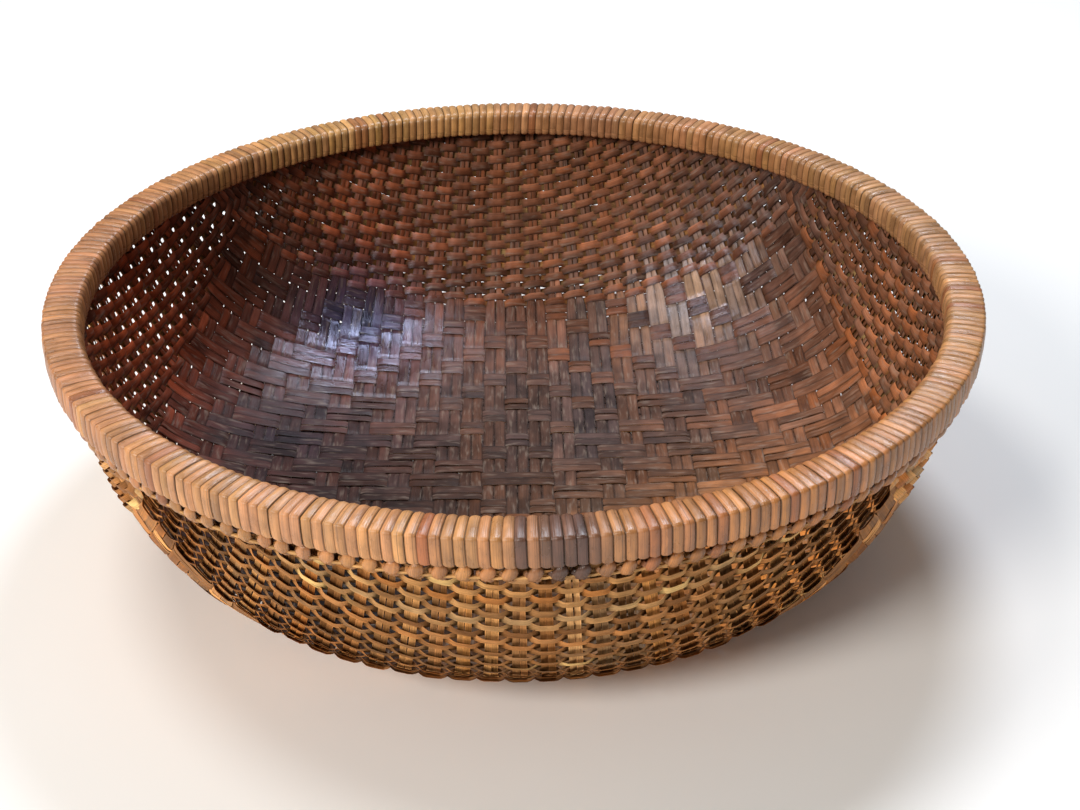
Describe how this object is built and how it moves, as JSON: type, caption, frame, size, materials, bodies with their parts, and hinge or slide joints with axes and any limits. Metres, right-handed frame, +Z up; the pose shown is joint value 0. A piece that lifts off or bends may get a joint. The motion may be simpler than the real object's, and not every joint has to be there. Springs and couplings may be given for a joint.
{
  "type": "winnowing basket",
  "caption": "Round bowl-shaped basket plaited from split cane, its edge clamped between two hoops and bound all round with cane.",
  "frame": {"origin": "centre of the flat round face that the basket rests on", "axes": "+Z up through the open mouth, along the axis of the round rim; +Y points away from the side the basket is usually seen from"},
  "size_m": [0.4598, 0.4598, 0.131],
  "materials": {
    "mat": "dark satin inside, drier golden tan outside. The inside colour and gloss hold bluish, pale, gold and near-black patches that imitate the light the basket was seen in",
    "hoop": "plain split bamboo",
    "thin_cane": "satin cane",
    "binder": "satin split cane, worn glossy on top"
  },
  "bodies": {
    "root": {"woven_mat": "mat", "inner_hoop": "hoop", "outer_hoop": "hoop", "edge_strip": "hoop", "under_rim_cane": "thin_cane", "binder_cane_01": "binder", "binder_cane_02": "binder", "binder_cane_03": "binder", "binder_cane_04": "binder", "binder_cane_05": "binder", "binder_cane_06": "binder", "binder_cane_07": "binder", "binder_cane_08": "binder", "binder_cane_09": "binder", "binder_cane_10": "binder", "binder_cane_11": "binder", "binder_cane_12": "binder"}
  },
  "joints": []
}
